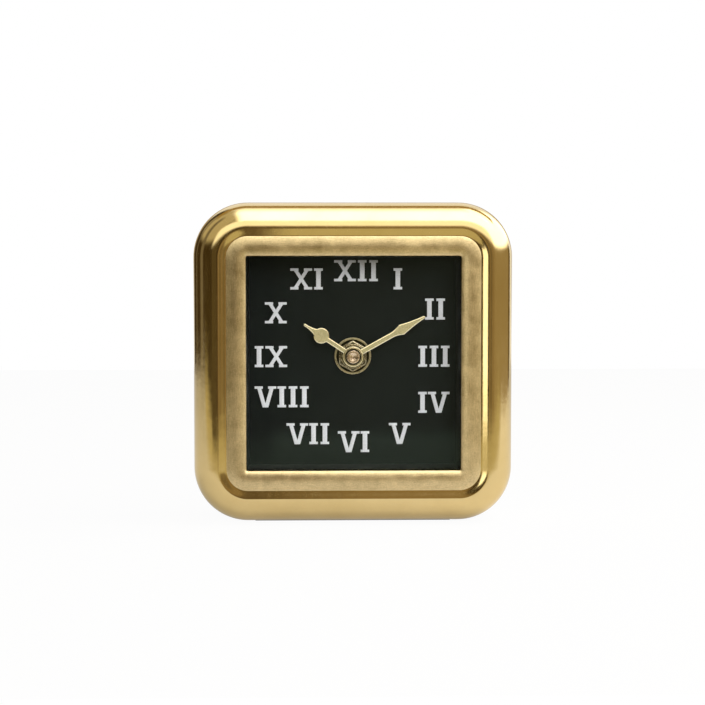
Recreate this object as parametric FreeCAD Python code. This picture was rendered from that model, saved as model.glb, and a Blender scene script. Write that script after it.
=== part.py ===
import FreeCAD, Part
import math
import os

# A square desk clock: a cast brass frame with a bulged rim round a black dial, a quartz
# movement behind the dial and a black back plate with a window for the battery and the knob.
# Millimetres, +Z up, the dial faces -Y, the origin is under the middle of the felt pad.
# A depth is measured from the front crest of the frame towards the back.

# Case: the frame's section, from its outer wall in to the edge of the dial opening
case_width = 140.0
case_height = 140.0
case_depth = 52.0
case_wall = 4.0
bulge_width = 10.9
bulge_depth = 14.0
flank_width = 3.6
groove_drop = 0.8
bead_rise_width = 4.3
bead_fall_width = 4.35
bead_drop = 0.05
lip_drop = 1.5
lip_thickness = 5.9
lip_cover = 3.05
opening_corner = 0.7
collar_width = 3.5
rebate_width = 2.0
rebate_depth = 3.5
crest_share = 0.14
knee_share = 0.5
cove_share = 0.86
bead_rise_share = 0.4
bead_pull_share = 0.75

# Glass, spacer and dial
glass_thickness = 2.0
glass_clearance = 0.3
spacer_depth = 8.9
spacer_clearance = 0.2
spacer_setback = 0.35
spacer_taper = 1.4
dial_thickness = 0.8
dial_clearance = 1.0
dial_hole_clearance = 0.2
axis_rise = 2.3

# Numerals: slab letters on the dial
numeral_relief = 0.15
numeral_height = 9.35
stem_width = 2.05
stem_serif_reach = 0.875
wide_width = 9.6
wide_stroke = 1.75
wide_serif_reach = 0.925
wide_foot = 2.5
serif_height = 1.1
twin_gap = 1.2
cross_gap = 0.9
vee_gap = 0.5
numeral_place_shares = {
    "XII": (0.031, 0.805),
    "I": (0.426, 0.728),
    "II": (0.778, 0.442),
    "III": (0.769, -0.005),
    "IV": (0.769, -0.442),
    "V": (0.445, -0.737),
    "VI": (0.008, -0.814),
    "VII": (-0.425, -0.737),
    "VIII": (-0.672, -0.386),
    "IX": (-0.772, -0.005),
    "X": (-0.725, 0.409),
    "XI": (-0.435, 0.728),
}

# Dial board, back plate and their screws
board_thickness = 3.0
board_overhang = 3.0
board_corner_clearance = 0.5
board_boss_radius = 4.0
board_boss_inset = 12.0
pillar_radius = 3.3
pillar_cover = 4.2
pillar_bite = 0.2
pilot_radius = 1.35
pilot_depth = 8.0
screw_radius = 1.25
screw_hole_radius = 1.6
screw_head_radius = 2.9
screw_head_height = 0.9
screw_slot_width = 0.8
screw_slot_depth = 0.5
screw_reach = 7.0
back_thickness = 2.5
back_clearance = 0.2
window_size = 64.0
window_corner = 6.0
pad_thickness = 0.8
pad_margin = 3.0

# Nut, washers and bushing at the middle of the dial
bushing_radius = 4.0
bushing_flange_radius = 6.5
bushing_flange_thickness = 0.6
bushing_proud = 0.6
seat_clearance = 0.05
washer_radius = 8.15
washer_thickness = 0.5
nut_flats = 12.2
nut_height = 2.2
nut_chamfer = 0.5
rubber_radius = 8.5
rubber_thickness = 1.0

# Hands: they point at ten past ten
hand_thickness = 0.7
hand_spacing = 0.9
hand_clearance = 0.2
grip_clearance = 0.02
hour_hand_angle = 303.4
hour_hand_length = 25.9
hour_hub_radius = 3.9
hour_stem_width = 2.05
hour_blob_radius = 3.4
hour_blob_reach = 16.7
hour_neck_angle = 66.0
minute_hand_angle = 60.9
minute_hand_length = 36.2
minute_hub_radius = 4.5
minute_stem_width = 2.3
minute_stem_reach = 18.0
minute_leaf_width = 4.8
minute_leaf_reach = 24.4
minute_rim_width = 0.9
minute_rim_height = 0.3
hand_tip_width = 1.1
neck_hollow_share = 0.3
leaf_hollow_share = 0.42
flare_share = 0.34
cap_radius = 3.05
cap_height = 2.1
cap_round = 0.4
cap_dimple_radius = 1.9
cap_dimple_depth = 0.5
cap_floor = 0.5

# Movement: its shells and the layers of the wheel train
movement_size = 56.0
movement_depth = 16.0
shell_wall = 1.2
front_shell_depth = 9.0
bay_height = 15.3
layer_gap = 0.4
motion_thickness = 1.2
train_thickness = 0.8
running_clearance = 0.05
arbor_radius = 0.4
pivot_depth = 0.7
end_play = 0.1
hour_pipe_radius = 2.6
hour_pipe_proud = 0.1
minute_pipe_radius = 1.75
seconds_radius = 0.5
seconds_reach = 12.0
minute_post_radius = 0.6
tooth_root_share = 0.5
tooth_tip_share = 0.2
addendum_share = 0.8
dedendum_share = 1.15

# Wheel train: tooth counts, modules and the directions from one axis to the next
cannon_teeth = 12
minute_wheel_teeth = 36
minute_pinion_teeth = 10
hour_wheel_teeth = 40
setting_teeth = 12
centre_wheel_teeth = 64
third_pinion_teeth = 8
third_wheel_teeth = 60
seconds_pinion_teeth = 8
seconds_wheel_teeth = 60
middle_pinion_teeth = 10
middle_wheel_teeth = 40
rotor_pinion_teeth = 8
motion_module = 0.375
centre_module = 0.24
fine_module = 0.25
minute_wheel_bearing = 150.0
setting_bearing = 120.0
third_bearing = -10.0
middle_bearing = 95.0
rotor_bearing = 60.0

# Bridge, posts and the driving parts behind the bridge
bridge_width = 32.0
bridge_height = 26.5
bridge_shift = -3.0
bridge_rise = 3.4
post_radius = 1.2
pin_radius = 0.6
bridge_post_places = ((-17.4, 4.0), (11.4, 13.2), (-9.0, -8.4))
board_post_radius = 1.5
magnet_radius = 2.0
magnet_length = 2.0
magnet_gap = 0.5
stator_gap = 0.35
stator_clearance = 0.6
stator_thickness = 1.0
stator_base = 7.2
stator_leg = 4.0
stator_top_gap = 2.1
core_thickness = 1.0
coil_build = 1.2
coil_end_gap = 0.7
bobbin_flange = 0.8
bobbin_sleeve = 0.3
circuit_width = 9.0
circuit_height = 25.0
circuit_thickness = 0.8
circuit_rise = 3.5
chip_size = 5.0
chip_height = 1.2
crystal_radius = 1.0
crystal_length = 6.0
crystal_lift = 0.05

# Setting stem, battery and contacts
stem_radius = 0.9
stem_clearance = 0.4
knob_radius = 6.0
knob_thickness = 3.5
knob_flutes = 24
knob_flute_depth = 0.35
battery_radius = 7.25
battery_length = 49.0
battery_nub_radius = 2.75
battery_nub_length = 1.5
battery_floor_gap = 0.3
contact_thickness = 0.4
contact_height = 8.0
contact_depth = 10.0
contact_gap = 0.3
strap_height = 1.5
strap_thickness = 0.3
strap_reach = 3.0

# Directions: rearward is along a depth, anticlockwise is as seen from the front
across = FreeCAD.Vector(1, 0, 0)
rearward = FreeCAD.Vector(0, 1, 0)
upward = FreeCAD.Vector(0, 0, 1)
anticlockwise = FreeCAD.Vector(0, -1, 0)

# Places that follow from the sizes above
ring_width = bulge_width + flank_width + bead_rise_width + bead_fall_width
corner_radius = ring_width + opening_corner
pillar_reach = corner_radius - pillar_cover - pillar_radius
pillar_inset = corner_radius - pillar_reach * math.sqrt(0.5)
case_centre = pad_thickness + case_height / 2
axis_height = case_centre + axis_rise
opening_half_width = case_width / 2 - ring_width
opening_half_height = case_height / 2 - ring_width
groove_inset = bulge_width + flank_width
bead_inset = groove_inset + bead_rise_width
pocket_inset = ring_width - lip_cover
collar_inset = pocket_inset - collar_width
glass_depth = lip_drop + lip_thickness
spacer_front = glass_depth + glass_thickness
dial_depth = spacer_front + spacer_depth
board_depth = dial_depth + dial_thickness
rubber_depth = board_depth + board_thickness
movement_front = rubber_depth + rubber_thickness
movement_back = movement_front + movement_depth
rebate_front = case_depth - rebate_depth
board_half_width = case_width / 2 - board_boss_inset + board_overhang
board_half_height = case_height / 2 - board_boss_inset + board_overhang

# Widths of the letters' slabs
stem_serif = stem_width + 2 * stem_serif_reach
wide_serif = wide_stroke + 2 * wide_serif_reach

# Heights above the dial, kept as depths
nut_front = dial_depth - washer_thickness - nut_height
bushing_front = nut_front - bushing_proud
hour_hand_back = bushing_front - hand_clearance
hour_hand_front = hour_hand_back - hand_thickness - hand_clearance
minute_hand_back = hour_hand_front - hand_spacing
minute_hand_front = minute_hand_back - hand_thickness
cap_front = minute_hand_front - cap_height
minute_pipe_front = cap_front + cap_floor

# Depths of the wheel layers, from the front shell's floor back to the bridge
floor_back = movement_front + shell_wall
pivot_front = floor_back - pivot_depth + end_play
hour_layer = floor_back + layer_gap
hour_layer_back = hour_layer + motion_thickness
minute_layer = hour_layer_back + layer_gap
minute_layer_back = minute_layer + motion_thickness
centre_layer = minute_layer_back + layer_gap
third_layer = centre_layer + train_thickness + layer_gap
seconds_layer = third_layer + train_thickness + layer_gap
middle_layer = seconds_layer + train_thickness + layer_gap
bridge_layer = middle_layer + train_thickness + layer_gap
bridge_back = bridge_layer + train_thickness
magnet_front = bridge_back + magnet_gap
stator_front = magnet_front + (magnet_length - stator_thickness) / 2
core_front = stator_front + stator_thickness
back_wall_front = movement_back - shell_wall
shell_split = movement_front + front_shell_depth

# Movement outline: the battery bay lies under the wheel space
movement_half = movement_size / 2
inner_half = movement_half - shell_wall
bay_top = bay_height - inner_half
bay_middle = bay_top - bay_height / 2
battery_depth = floor_back + battery_floor_gap + battery_radius


# Shapes: every solid is drawn on a plane that faces the front and pushed back


def point(x, depth, z):
    return FreeCAD.Vector(x, depth - case_depth / 2, z)


def face_through(places, depth):
    corners = [point(x, depth, z) for x, z in places]
    return Part.Face(Part.makePolygon(corners + corners[:1]))


def plate(places, depth, thickness):
    return face_through(places, depth).extrude(rearward * thickness)


def rod(place, radius, front, back):
    x, z = place
    return Part.makeCylinder(radius, back - front, point(x, front, z), rearward)


def tube(place, radius, bore, front, back):
    return rod(place, radius, front, back).cut(rod(place, bore, front, back))


def block(place, width, height, front, back):
    x, z = place
    corner = point(x - width / 2, front, z - height / 2)
    return Part.makeBox(width, back - front, height, corner)


def rounded_block(place, width, height, corner, front, back):
    plain = block(place, width, height, front, back)
    long_edges = [edge for edge in plain.Edges if abs(edge.tangentAt(0).dot(rearward)) > 0.9]
    return plain.makeFillet(corner, long_edges)


def fuse(solids):
    whole = solids[0].multiFuse(solids[1:])
    return whole.removeSplitter()


def cut(solid, tools):
    return solid.cut(Part.makeCompound(tools))


def offset(place, distance, bearing):
    turn = math.radians(bearing)
    return place[0] + distance * math.cos(turn), place[1] + distance * math.sin(turn)


# Case


def section_point(inset, depth):
    return point(corner_radius - inset, depth, 0)


def line(start, end):
    return Part.LineSegment(section_point(*start), section_point(*end)).toShape()


def bend(start, pull, end):
    """A quarter of an ellipse from start to end, tangent to the lines that meet at pull."""
    curve = Part.BezierCurve()
    curve.setPoles([section_point(*start), section_point(*pull), section_point(*end)])
    curve.setWeight(2, math.sqrt(0.5))
    return curve.toShape()


def case_section():
    """The frame's section on a plane through the middle of a corner."""
    crest_pull = (bulge_width + flank_width * crest_share, 0)
    knee = (bulge_width + flank_width * knee_share, groove_drop * knee_share)
    cove_pull = (bulge_width + flank_width * cove_share, groove_drop)
    rise_pull = (groove_inset + bead_rise_width * bead_rise_share, bead_drop)
    fall_pull = (bead_inset + bead_fall_width * bead_pull_share, bead_drop)
    roof = groove_drop + case_wall
    edges = [
        line((0, case_depth), (0, bulge_depth)),
        bend((0, bulge_depth), (0, 0), (bulge_width, 0)),
        bend((bulge_width, 0), crest_pull, knee),
        bend(knee, cove_pull, (groove_inset, groove_drop)),
        bend((groove_inset, groove_drop), rise_pull, (bead_inset, bead_drop)),
        bend((bead_inset, bead_drop), fall_pull, (ring_width, lip_drop)),
        line((ring_width, lip_drop), (ring_width, glass_depth)),
        line((ring_width, glass_depth), (pocket_inset, glass_depth)),
        line((pocket_inset, glass_depth), (pocket_inset, dial_depth)),
        line((pocket_inset, dial_depth), (collar_inset, dial_depth)),
        line((collar_inset, dial_depth), (collar_inset, roof)),
        line((collar_inset, roof), (bulge_width, roof)),
        line((bulge_width, roof), (bulge_width, case_wall)),
        bend((bulge_width, case_wall), (case_wall, case_wall), (case_wall, bulge_depth)),
        line((case_wall, bulge_depth), (case_wall, rebate_front)),
        line((case_wall, rebate_front), (rebate_width, rebate_front)),
        line((rebate_width, rebate_front), (rebate_width, case_depth)),
        line((rebate_width, case_depth), (0, case_depth)),
    ]
    return Part.Face(Part.Wire(edges))


def frame_ring():
    """The section carried round the square: a quarter turn at each corner and a run along each side."""
    across_run = case_width - 2 * corner_radius
    upright_run = case_height - 2 * corner_radius
    section = case_section()
    turns = ((1, 1), (-1, 1), (-1, -1), (1, -1))
    runs = (across * -across_run, upward * -upright_run, across * across_run, upward * upright_run)
    pieces = []
    for quarter, (side, level) in enumerate(turns):
        middle = FreeCAD.Vector(side * across_run / 2, 0, case_centre + level * upright_run / 2)
        start = section.copy()
        start.rotate(FreeCAD.Vector(0, 0, 0), anticlockwise, 90 * quarter)
        start.translate(middle)
        end = start.copy()
        end.rotate(middle, anticlockwise, 90)
        pieces.append(start.revolve(middle, anticlockwise, 90))
        pieces.append(end.extrude(runs[quarter]))
    return fuse(pieces)


def board_boss_places():
    reach_x = case_width / 2 - board_boss_inset
    reach_z = case_height / 2 - board_boss_inset
    return [
        (reach_x, case_centre),
        (0, case_centre + reach_z),
        (-reach_x, case_centre),
        (0, case_centre - reach_z),
    ]


def pillar_places():
    reach_x = case_width / 2 - pillar_inset
    reach_z = case_height / 2 - pillar_inset
    return [(x, case_centre + z) for x in (-reach_x, reach_x) for z in (-reach_z, reach_z)]


def case():
    boss_front = case_wall + groove_drop / 2
    pillar_front = case_wall - pillar_bite
    bosses = [
        rod(place, board_boss_radius, boss_front, board_depth) for place in board_boss_places()
    ]
    pillars = [rod(place, pillar_radius, pillar_front, rebate_front) for place in pillar_places()]
    pilots = [
        rod(place, pilot_radius, board_depth - pilot_depth, board_depth)
        for place in board_boss_places()
    ]
    pilots += [
        rod(place, pilot_radius, rebate_front - pilot_depth, rebate_front)
        for place in pillar_places()
    ]
    return cut(fuse([frame_ring()] + bosses + pillars), pilots)


def felt_pad():
    width = case_width - 2 * corner_radius - 2 * pad_margin
    front = bulge_depth + pad_margin
    back = case_depth - pad_margin
    return block((0, pad_thickness / 2), width, pad_thickness, front, back)


# Glass, spacer, dial and board


def square_plate(inset, front, back):
    """A plate that follows the case's outline at an inset from its outer wall."""
    return rounded_block(
        (0, case_centre),
        case_width - 2 * inset,
        case_height - 2 * inset,
        corner_radius - inset,
        front,
        back,
    )


def glass_pane():
    return square_plate(pocket_inset + glass_clearance, glass_depth, spacer_front)


def spacer_frame():
    """A black frame between glass and dial, whose inner faces slope in towards the dial."""
    half_width = opening_half_width + spacer_setback
    half_height = opening_half_height + spacer_setback
    rings = []
    for depth, taper in ((spacer_front, 0), (dial_depth, spacer_taper)):
        x = half_width - taper
        z = half_height - taper
        corners = [(x, z), (-x, z), (-x, -z), (x, -z)]
        places = [point(a, depth, case_centre + b) for a, b in corners]
        rings.append(Part.makePolygon(places + places[:1]))
    hollow = Part.makeLoft(rings, True, True)
    return square_plate(pocket_inset + spacer_clearance, spacer_front, dial_depth).cut(hollow)


def dial_plate():
    inset = board_boss_inset + board_boss_radius + dial_clearance
    plain = square_plate(inset, dial_depth, board_depth)
    hole = rod((0, axis_height), bushing_radius + dial_hole_clearance, dial_depth, board_depth)
    return plain.cut(hole)


def board_corner():
    """The corner radius that keeps the board clear of the pillar beside it."""
    reach = math.hypot(case_width / 2 - pillar_inset, case_height / 2 - pillar_inset)
    limit = reach - pillar_radius - board_corner_clearance
    excess = math.hypot(board_half_width, board_half_height) - limit
    return excess / (math.sqrt(2) - 1)


def dial_board():
    plain = rounded_block(
        (0, case_centre),
        2 * board_half_width,
        2 * board_half_height,
        board_corner(),
        board_depth,
        rubber_depth,
    )
    holes = [rod(place, screw_hole_radius, board_depth, rubber_depth) for place in board_boss_places()]
    holes.append(rod((0, axis_height), bushing_radius + dial_hole_clearance, board_depth, rubber_depth))
    return cut(plain, holes)


def back_plate():
    plain = square_plate(rebate_width + back_clearance, rebate_front, rebate_front + back_thickness)
    back = rebate_front + back_thickness
    window = rounded_block(
        (0, axis_height), window_size, window_size, window_corner, rebate_front, back
    )
    holes = [rod(place, screw_hole_radius, rebate_front, back) for place in pillar_places()]
    return cut(plain, [window] + holes)


def screw(place, seat):
    """A slotted pan-head screw whose head sits on seat and whose shank points to the front."""
    shank = rod(place, screw_radius, seat - screw_reach, seat)
    head = rod(place, screw_head_radius, seat, seat + screw_head_height)
    slot = block(
        place,
        2 * screw_head_radius,
        screw_slot_width,
        seat + screw_head_height - screw_slot_depth,
        seat + screw_head_height,
    )
    return fuse([shank, head]).cut(slot)


def board_screws():
    return Part.makeCompound([screw(place, rubber_depth) for place in board_boss_places()])


def back_screws():
    seat = rebate_front + back_thickness
    return Part.makeCompound([screw(place, seat) for place in pillar_places()])


# Numerals


def letter(strokes, x, z):
    """One letter from its strokes, with its middle at x, z on the dial."""
    depth = dial_depth - numeral_relief
    solids = []
    for places in strokes:
        moved = [(x + a, z + b) for a, b in places]
        solids.append(plate(moved, depth, numeral_relief))
    return fuse(solids)


def serif(x, width, level):
    """A slab at the top (level 1) or the foot (level -1) of a letter."""
    outer = level * numeral_height / 2
    inner = outer - level * serif_height
    half = width / 2
    return [(x - half, outer), (x + half, outer), (x + half, inner), (x - half, inner)]


def stroke(low_x, high_x, width):
    """A slanted or upright stroke over the letter's whole height."""
    half = width / 2
    top = numeral_height / 2
    return [(low_x - half, -top), (low_x + half, -top), (high_x + half, top), (high_x - half, top)]


def letter_i():
    return [stroke(0, 0, stem_width), serif(0, stem_serif, 1), serif(0, stem_serif, -1)]


def letter_v():
    arm = (wide_width - wide_serif) / 2
    foot = (wide_foot - wide_stroke) / 2
    return [
        stroke(-foot, -arm, wide_stroke),
        stroke(foot, arm, wide_stroke),
        serif(-arm, wide_serif, 1),
        serif(arm, wide_serif, 1),
    ]


def letter_x():
    arm = (wide_width - wide_serif) / 2
    slabs = [serif(side * arm, wide_serif, level) for side in (-1, 1) for level in (-1, 1)]
    return [stroke(-arm, arm, wide_stroke), stroke(arm, -arm, wide_stroke)] + slabs


letter_shapes = {"I": letter_i, "V": letter_v, "X": letter_x}
letter_widths = {"I": stem_serif, "V": wide_width, "X": wide_width}
pair_gaps = {"II": twin_gap, "XI": cross_gap, "IX": cross_gap, "VI": vee_gap, "IV": vee_gap}


def numeral(text, x, z):
    gaps = [pair_gaps[text[i : i + 2]] for i in range(len(text) - 1)]
    left = x - (sum(letter_widths[name] for name in text) + sum(gaps)) / 2
    letters = []
    for name, gap in zip(text, gaps + [0]):
        width = letter_widths[name]
        letters.append(letter(letter_shapes[name](), left + width / 2, z))
        left += width + gap
    return letters


def numerals():
    letters = []
    for text, (share_x, share_z) in numeral_place_shares.items():
        x = share_x * opening_half_width
        z = axis_height + share_z * opening_half_height
        letters += numeral(text, x, z)
    return Part.makeCompound(letters)


# Hands


def hand_line(start, end):
    places = [FreeCAD.Vector(x, 0, z) for x, z in (start, end)]
    return Part.LineSegment(*places).toShape()


def hand_arc(start, middle, end):
    places = [FreeCAD.Vector(x, 0, z) for x, z in (start, middle, end)]
    return Part.Arc(*places).toShape()


def sagged(start, end, share, guide):
    """The point part way from the middle of a chord to a guide point beside it."""
    middle = ((start[0] + end[0]) / 2, (start[1] + end[1]) / 2)
    return (
        middle[0] + share * (guide[0] - middle[0]),
        middle[1] + share * (guide[1] - middle[1]),
    )


def blade(right_edges, front, angle):
    """A flat hand from the edges of its right side, turned clockwise from twelve."""
    left_edges = [edge.mirror(FreeCAD.Vector(0, 0, 0), across) for edge in right_edges]
    outline = Part.Wire(Part.__sortEdges__(right_edges + left_edges))
    solid = Part.Face(outline).extrude(rearward * hand_thickness)
    solid.translate(point(0, front, axis_height))
    solid.rotate(point(0, front, axis_height), anticlockwise, -angle)
    return solid


def tip_edges(shoulder, length):
    half = hand_tip_width / 2
    turn = half * math.sqrt(0.5)
    centre = length - half
    return hand_arc(shoulder, (turn, centre + turn), (0, length))


def hour_hand():
    half = hour_stem_width / 2
    neck_turn = math.radians(hour_neck_angle)
    stem_end = (half, hour_blob_reach - math.sqrt(hour_blob_radius**2 - half**2))
    belly = (hour_blob_radius, hour_blob_reach)
    neck = (
        hour_blob_radius * math.cos(neck_turn),
        hour_blob_reach + hour_blob_radius * math.sin(neck_turn),
    )
    shoulder = (hand_tip_width / 2, hour_hand_length - hand_tip_width / 2)
    hollow = sagged(neck, shoulder, neck_hollow_share, (shoulder[0], neck[1]))
    edges = [
        hand_line((half, 0), stem_end),
        hand_arc(stem_end, belly, neck),
        hand_arc(neck, hollow, shoulder),
        tip_edges(shoulder, hour_hand_length),
        hand_line((half, 0), (0, 0)),
    ]
    flat = blade(edges, hour_hand_front, hour_hand_angle)
    place = (0, axis_height)
    hub = rod(place, hour_hub_radius, hour_hand_front, hour_hand_back)
    bore = rod(place, hour_pipe_radius + grip_clearance, hour_hand_front, hour_hand_back)
    return fuse([flat, hub]).cut(bore)


def minute_hand():
    half = minute_stem_width / 2
    widest = (minute_leaf_width / 2, minute_leaf_reach)
    stem_end = (half, minute_stem_reach)
    shoulder = (hand_tip_width / 2, minute_hand_length - hand_tip_width / 2)
    flare = sagged(stem_end, widest, flare_share, (half, minute_leaf_reach))
    taper = sagged(widest, shoulder, neck_hollow_share * leaf_hollow_share, (shoulder[0], widest[1]))
    edges = [
        hand_line((half, 0), stem_end),
        hand_arc(stem_end, flare, widest),
        hand_arc(widest, taper, shoulder),
        tip_edges(shoulder, minute_hand_length),
        hand_line((half, 0), (0, 0)),
    ]
    flat = blade(edges, minute_hand_front, minute_hand_angle)
    place = (0, axis_height)
    rim_front = minute_hand_front - minute_rim_height
    disc = rod(place, minute_hub_radius, minute_hand_front, minute_hand_back)
    rim = tube(place, minute_hub_radius, minute_hub_radius - minute_rim_width, rim_front, minute_hand_back)
    bore = rod(place, minute_pipe_radius + grip_clearance, rim_front, minute_hand_back)
    return fuse([flat, disc, rim]).cut(bore)


def hand_nut():
    place = (0, axis_height)
    body = rod(place, cap_radius, cap_front, minute_hand_front)
    front_edges = [edge for edge in body.Edges if edge.BoundBox.YMax < point(0, cap_front + cap_floor, 0).y]
    body = body.makeFillet(cap_round, front_edges)
    dimple = Part.makeCone(
        cap_dimple_radius, 0, cap_dimple_depth, point(0, cap_front, axis_height), rearward
    )
    bore = rod(place, minute_pipe_radius + grip_clearance, minute_pipe_front, minute_hand_front)
    return cut(body, [dimple, bore])


def brass_washer():
    hole = bushing_radius + dial_hole_clearance
    return tube((0, axis_height), washer_radius, hole, dial_depth - washer_thickness, dial_depth)


def hex_nut():
    """A hexagon with two corners up and down, bevelled round the front."""
    reach = nut_flats / math.sqrt(3)
    nut_back = nut_front + nut_height
    corners = [offset((0, axis_height), reach, 30 + 60 * i) for i in range(6)]
    body = plate(corners, nut_front, nut_height)
    cone = Part.makeCone(
        reach - nut_chamfer,
        reach - nut_chamfer + nut_height * math.sqrt(3),
        nut_height,
        point(0, nut_front, axis_height),
        rearward,
    )
    bore = rod((0, axis_height), bushing_radius + seat_clearance, nut_front, nut_back)
    return body.common(cone).cut(bore)


def threaded_bushing():
    place = (0, axis_height)
    flange_back = movement_front + bushing_flange_thickness
    flange = rod(place, bushing_flange_radius, movement_front, flange_back)
    neck = rod(place, bushing_radius, bushing_front, flange_back)
    bore = rod(place, hour_pipe_radius + running_clearance, bushing_front, flange_back)
    return fuse([flange, neck]).cut(bore)


def rubber_washer():
    hole = bushing_radius + dial_hole_clearance
    return tube((0, axis_height), rubber_radius, hole, rubber_depth, movement_front)


# Wheel train: axes, tooth phases and wheels


def mesh_distance(teeth, other_teeth, module):
    return (teeth + other_teeth) * module / 2


def mesh_phase(teeth, phase, other_teeth, bearing):
    """The angle of a tooth on the second wheel that puts a gap of it on a tooth of the first."""
    lag = math.radians(bearing) - phase
    return math.radians(bearing) + math.pi + lag * teeth / other_teeth + math.pi / other_teeth


middle_distance = mesh_distance(cannon_teeth, minute_wheel_teeth, motion_module)
hour_module = middle_distance * 2 / (minute_pinion_teeth + hour_wheel_teeth)
third_distance = mesh_distance(centre_wheel_teeth, third_pinion_teeth, centre_module)
third_module = third_distance * 2 / (third_wheel_teeth + seconds_pinion_teeth)

axis_place = (0, axis_height)
minute_place = offset(axis_place, middle_distance, minute_wheel_bearing)
setting_place = offset(
    minute_place, mesh_distance(minute_wheel_teeth, setting_teeth, motion_module), setting_bearing
)
third_place = offset(axis_place, third_distance, third_bearing)
middle_place = offset(
    axis_place, mesh_distance(seconds_wheel_teeth, middle_pinion_teeth, fine_module), middle_bearing
)
rotor_place = offset(
    middle_place, mesh_distance(middle_wheel_teeth, rotor_pinion_teeth, fine_module), rotor_bearing
)

minute_phase = mesh_phase(cannon_teeth, 0, minute_wheel_teeth, minute_wheel_bearing)
hour_phase = mesh_phase(minute_pinion_teeth, 0, hour_wheel_teeth, minute_wheel_bearing + 180)
setting_phase = mesh_phase(minute_wheel_teeth, minute_phase, setting_teeth, setting_bearing)
third_phase = mesh_phase(centre_wheel_teeth, 0, third_pinion_teeth, third_bearing)
seconds_phase = mesh_phase(third_wheel_teeth, 0, seconds_pinion_teeth, third_bearing + 180)
middle_phase = mesh_phase(seconds_wheel_teeth, 0, middle_pinion_teeth, middle_bearing)
rotor_phase = mesh_phase(middle_wheel_teeth, 0, rotor_pinion_teeth, rotor_bearing)


def toothed_disc(place, teeth, root, tip, phase, front, back):
    """A disc with plain straight-sided teeth between a root and a tip radius."""
    half_pitch = math.pi / teeth
    corners = []
    for number in range(teeth):
        middle = phase + 2 * half_pitch * number
        for radius, share in (
            (root, -tooth_root_share),
            (tip, -tooth_tip_share),
            (tip, tooth_tip_share),
            (root, tooth_root_share),
        ):
            corners.append(offset(place, radius, math.degrees(middle + share * half_pitch)))
    return plate(corners, front, back - front)


def wheel(place, teeth, module, phase, front, back):
    pitch_radius = teeth * module / 2
    root = pitch_radius - dedendum_share * module
    tip = pitch_radius + addendum_share * module
    return toothed_disc(place, teeth, root, tip, phase, front, back)


def hour_wheel():
    disc = wheel(axis_place, hour_wheel_teeth, hour_module, hour_phase, hour_layer, hour_layer_back)
    pipe_front = hour_hand_front - hour_pipe_proud
    pipe = rod(axis_place, hour_pipe_radius, pipe_front, hour_layer_back)
    bore = rod(axis_place, minute_pipe_radius + running_clearance, pipe_front, hour_layer_back)
    return fuse([disc, pipe]).cut(bore)


def centre_wheel():
    """The wheel that turns once an hour, its cannon pinion and the pipe of the minute hand."""
    back = centre_layer + train_thickness
    cannon = wheel(axis_place, cannon_teeth, motion_module, 0, minute_layer, minute_layer_back)
    disc = wheel(axis_place, centre_wheel_teeth, centre_module, 0, centre_layer, back)
    pipe = rod(axis_place, minute_pipe_radius, minute_pipe_front, back)
    bore = rod(axis_place, seconds_radius + running_clearance, minute_pipe_front, back)
    return fuse([pipe, cannon, disc]).cut(bore)


def minute_wheel():
    teeth = minute_wheel_teeth
    disc = wheel(minute_place, teeth, motion_module, minute_phase, minute_layer, minute_layer_back)
    pinion = wheel(minute_place, minute_pinion_teeth, hour_module, 0, hour_layer, minute_layer)
    bore_radius = minute_post_radius + running_clearance
    bore = rod(minute_place, bore_radius, hour_layer, minute_layer_back)
    return fuse([disc, pinion]).cut(bore)


def arbor_with_wheel(place, wheel_part, pinion_part, arbor):
    """A wheel and its pinion on one arbor: each part gives teeth, module, phase and front."""
    wheel_teeth, wheel_module, wheel_phase, wheel_front = wheel_part
    teeth, module, phase, front = pinion_part
    wheel_back = wheel_front + train_thickness
    disc = wheel(place, wheel_teeth, wheel_module, wheel_phase, wheel_front, wheel_back)
    pinion = wheel(place, teeth, module, phase, front, wheel_front)
    return fuse([disc, pinion, arbor])


def third_wheel():
    return arbor_with_wheel(
        third_place,
        (third_wheel_teeth, third_module, 0, third_layer),
        (third_pinion_teeth, centre_module, third_phase, centre_layer),
        rod(third_place, arbor_radius, pivot_front, bridge_back),
    )


def seconds_wheel():
    return arbor_with_wheel(
        axis_place,
        (seconds_wheel_teeth, fine_module, 0, seconds_layer),
        (seconds_pinion_teeth, third_module, seconds_phase, third_layer),
        rod(axis_place, seconds_radius, floor_back - seconds_reach, bridge_back),
    )


def intermediate_wheel():
    return arbor_with_wheel(
        middle_place,
        (middle_wheel_teeth, fine_module, 0, middle_layer),
        (middle_pinion_teeth, fine_module, middle_phase, seconds_layer),
        rod(middle_place, arbor_radius, pivot_front, bridge_back),
    )


def rotor_pinion():
    teeth = rotor_pinion_teeth
    pinion = wheel(rotor_place, teeth, fine_module, rotor_phase, middle_layer, bridge_layer)
    arbor = rod(rotor_place, arbor_radius, pivot_front, back_wall_front + pivot_depth - end_play)
    return fuse([pinion, arbor])


def rotor_magnet():
    bore = arbor_radius + grip_clearance
    return tube(rotor_place, magnet_radius, bore, magnet_front, magnet_front + magnet_length)


def setting_stem():
    teeth = setting_teeth
    pinion = wheel(setting_place, teeth, motion_module, setting_phase, minute_layer, minute_layer_back)
    knob_back = movement_back + stem_clearance + knob_thickness
    shaft = rod(setting_place, stem_radius, pivot_front, knob_back - shell_wall)
    return fuse([pinion, shaft])


def setting_knob():
    front = movement_back + stem_clearance
    root = knob_radius - knob_flute_depth
    back = front + knob_thickness
    body = toothed_disc(setting_place, knob_flutes, root, knob_radius, 0, front, back)
    bore = rod(setting_place, stem_radius + grip_clearance, front, back - shell_wall)
    return body.cut(bore)


# Movement: shells, bridge and the electric parts


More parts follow.
